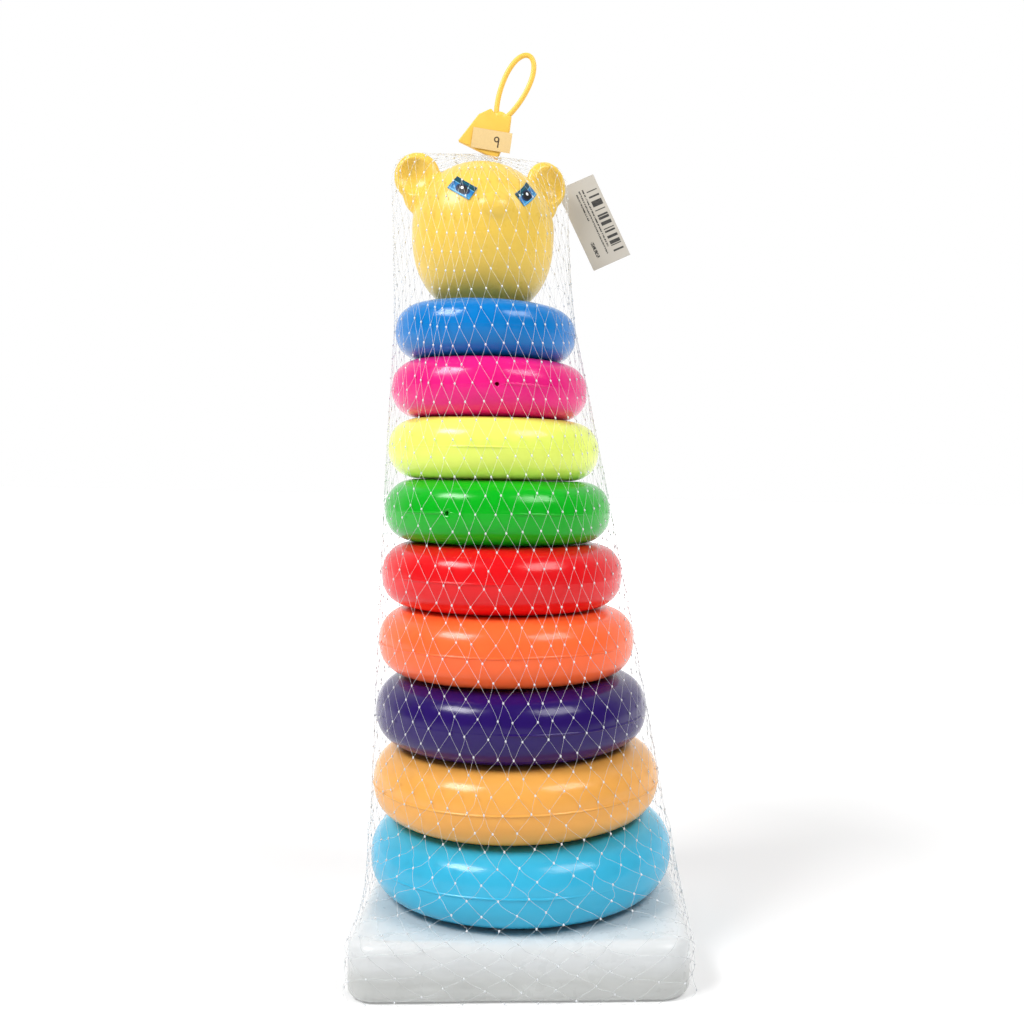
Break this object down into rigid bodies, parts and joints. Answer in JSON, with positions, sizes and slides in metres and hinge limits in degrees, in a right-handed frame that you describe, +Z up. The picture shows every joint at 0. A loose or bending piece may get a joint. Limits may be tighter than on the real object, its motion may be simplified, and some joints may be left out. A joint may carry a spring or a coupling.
{
  "type": "stacking ring toy",
  "caption": "Stacking toy of graded hollow plastic rings on a leaning tapered post with a square base and a bear's head, packed in a net that hangs from a clip with a loop.",
  "frame": {"origin": "centre of the base's flat underside", "axes": "+Z up from the base, with the post leaning 5 degrees towards -X, -Y towards the toy's front, where the bear's face looks out a little to the right, +X to the viewer's right"},
  "size_m": [0.149, 0.149, 0.4176],
  "materials": {
    "base_plastic": "smooth moulded grey-white, satin",
    "post_plastic": "smooth moulded white",
    "ring_1_light_blue": "glossy light blue",
    "ring_2_light_orange": "glossy light orange",
    "ring_3_purple": "glossy purple",
    "ring_4_orange": "glossy orange",
    "ring_5_red": "glossy red",
    "ring_6_green": "glossy green",
    "ring_7_yellow": "glossy pale yellow",
    "ring_8_pink": "glossy pink",
    "ring_9_blue": "glossy blue",
    "head_plastic": "glossy warm yellow",
    "eye_print": "printed glossy sticker",
    "net_thread": "fine white knotted plastic net",
    "clip_plastic": "glossy yellow",
    "sticker_paper": "matt tan label",
    "tag_paper": "matt grey-white label with a printed bar pattern"
  },
  "bodies": {
    "stand": {"base": "base_plastic", "post": "post_plastic"},
    "ring_1": {"ring_1_light_blue": "ring_1_light_blue"},
    "ring_2": {"ring_2_light_orange": "ring_2_light_orange"},
    "ring_3": {"ring_3_purple": "ring_3_purple"},
    "ring_4": {"ring_4_orange": "ring_4_orange"},
    "ring_5": {"ring_5_red": "ring_5_red"},
    "ring_6": {"ring_6_green": "ring_6_green"},
    "ring_7": {"ring_7_yellow": "ring_7_yellow"},
    "ring_8": {"ring_8_pink": "ring_8_pink"},
    "ring_9": {"ring_9_blue": "ring_9_blue"},
    "head": {"head": "head_plastic", "eye_left": "eye_print", "eye_right": "eye_print"},
    "net": {"net_bag": "net_thread"},
    "clip": {"net_clip": "clip_plastic", "count_sticker": "sticker_paper"},
    "tag": {"price_tag": "tag_paper"}
  },
  "joints": [
    {"name": "ring_1_lift", "type": "slide", "parent": "stand", "child": "ring_1", "axis": [-0.0872, 0, 0.9962], "range_m": [0, 0.2898]},
    {"name": "ring_2_lift", "type": "slide", "parent": "ring_1", "child": "ring_2", "axis": [-0.0872, 0, 0.9962], "range_m": [0, 0.2553]},
    {"name": "ring_3_lift", "type": "slide", "parent": "ring_2", "child": "ring_3", "axis": [-0.0872, 0, 0.9962], "range_m": [0, 0.2218]},
    {"name": "ring_4_lift", "type": "slide", "parent": "ring_3", "child": "ring_4", "axis": [-0.0872, 0, 0.9962], "range_m": [0, 0.1895]},
    {"name": "ring_5_lift", "type": "slide", "parent": "ring_4", "child": "ring_5", "axis": [-0.0872, 0, 0.9962], "range_m": [0, 0.1583]},
    {"name": "ring_6_lift", "type": "slide", "parent": "ring_5", "child": "ring_6", "axis": [-0.0872, 0, 0.9962], "range_m": [0, 0.1282]},
    {"name": "ring_7_lift", "type": "slide", "parent": "ring_6", "child": "ring_7", "axis": [-0.0872, 0, 0.9962], "range_m": [0, 0.0992]},
    {"name": "ring_8_lift", "type": "slide", "parent": "ring_7", "child": "ring_8", "axis": [-0.0872, 0, 0.9962], "range_m": [0, 0.0713]},
    {"name": "ring_9_lift", "type": "slide", "parent": "ring_8", "child": "ring_9", "axis": [-0.0872, 0, 0.9962], "range_m": [0, 0.0445]},
    {"name": "head_lift", "type": "slide", "parent": "ring_9", "child": "head", "axis": [-0.0872, 0, 0.9962], "range_m": [0, 0.019]},
    {"name": "net_lift", "type": "slide", "parent": "head", "child": "net", "axis": [0, 0, 1], "range_m": [0, 0.37]},
    {"name": "clip_tip", "type": "hinge", "parent": "net", "child": "clip", "pos_m": [-0.02885, 0.011, 0.37071], "axis": [0, 1, 0], "range_deg": [-48, 0]},
    {"name": "tag_flap", "type": "hinge", "parent": "net", "child": "tag", "pos_m": [0.01, 0.025, 0.357], "axis": [0, 0, 1], "range_deg": [-15, 75]}
  ]
}
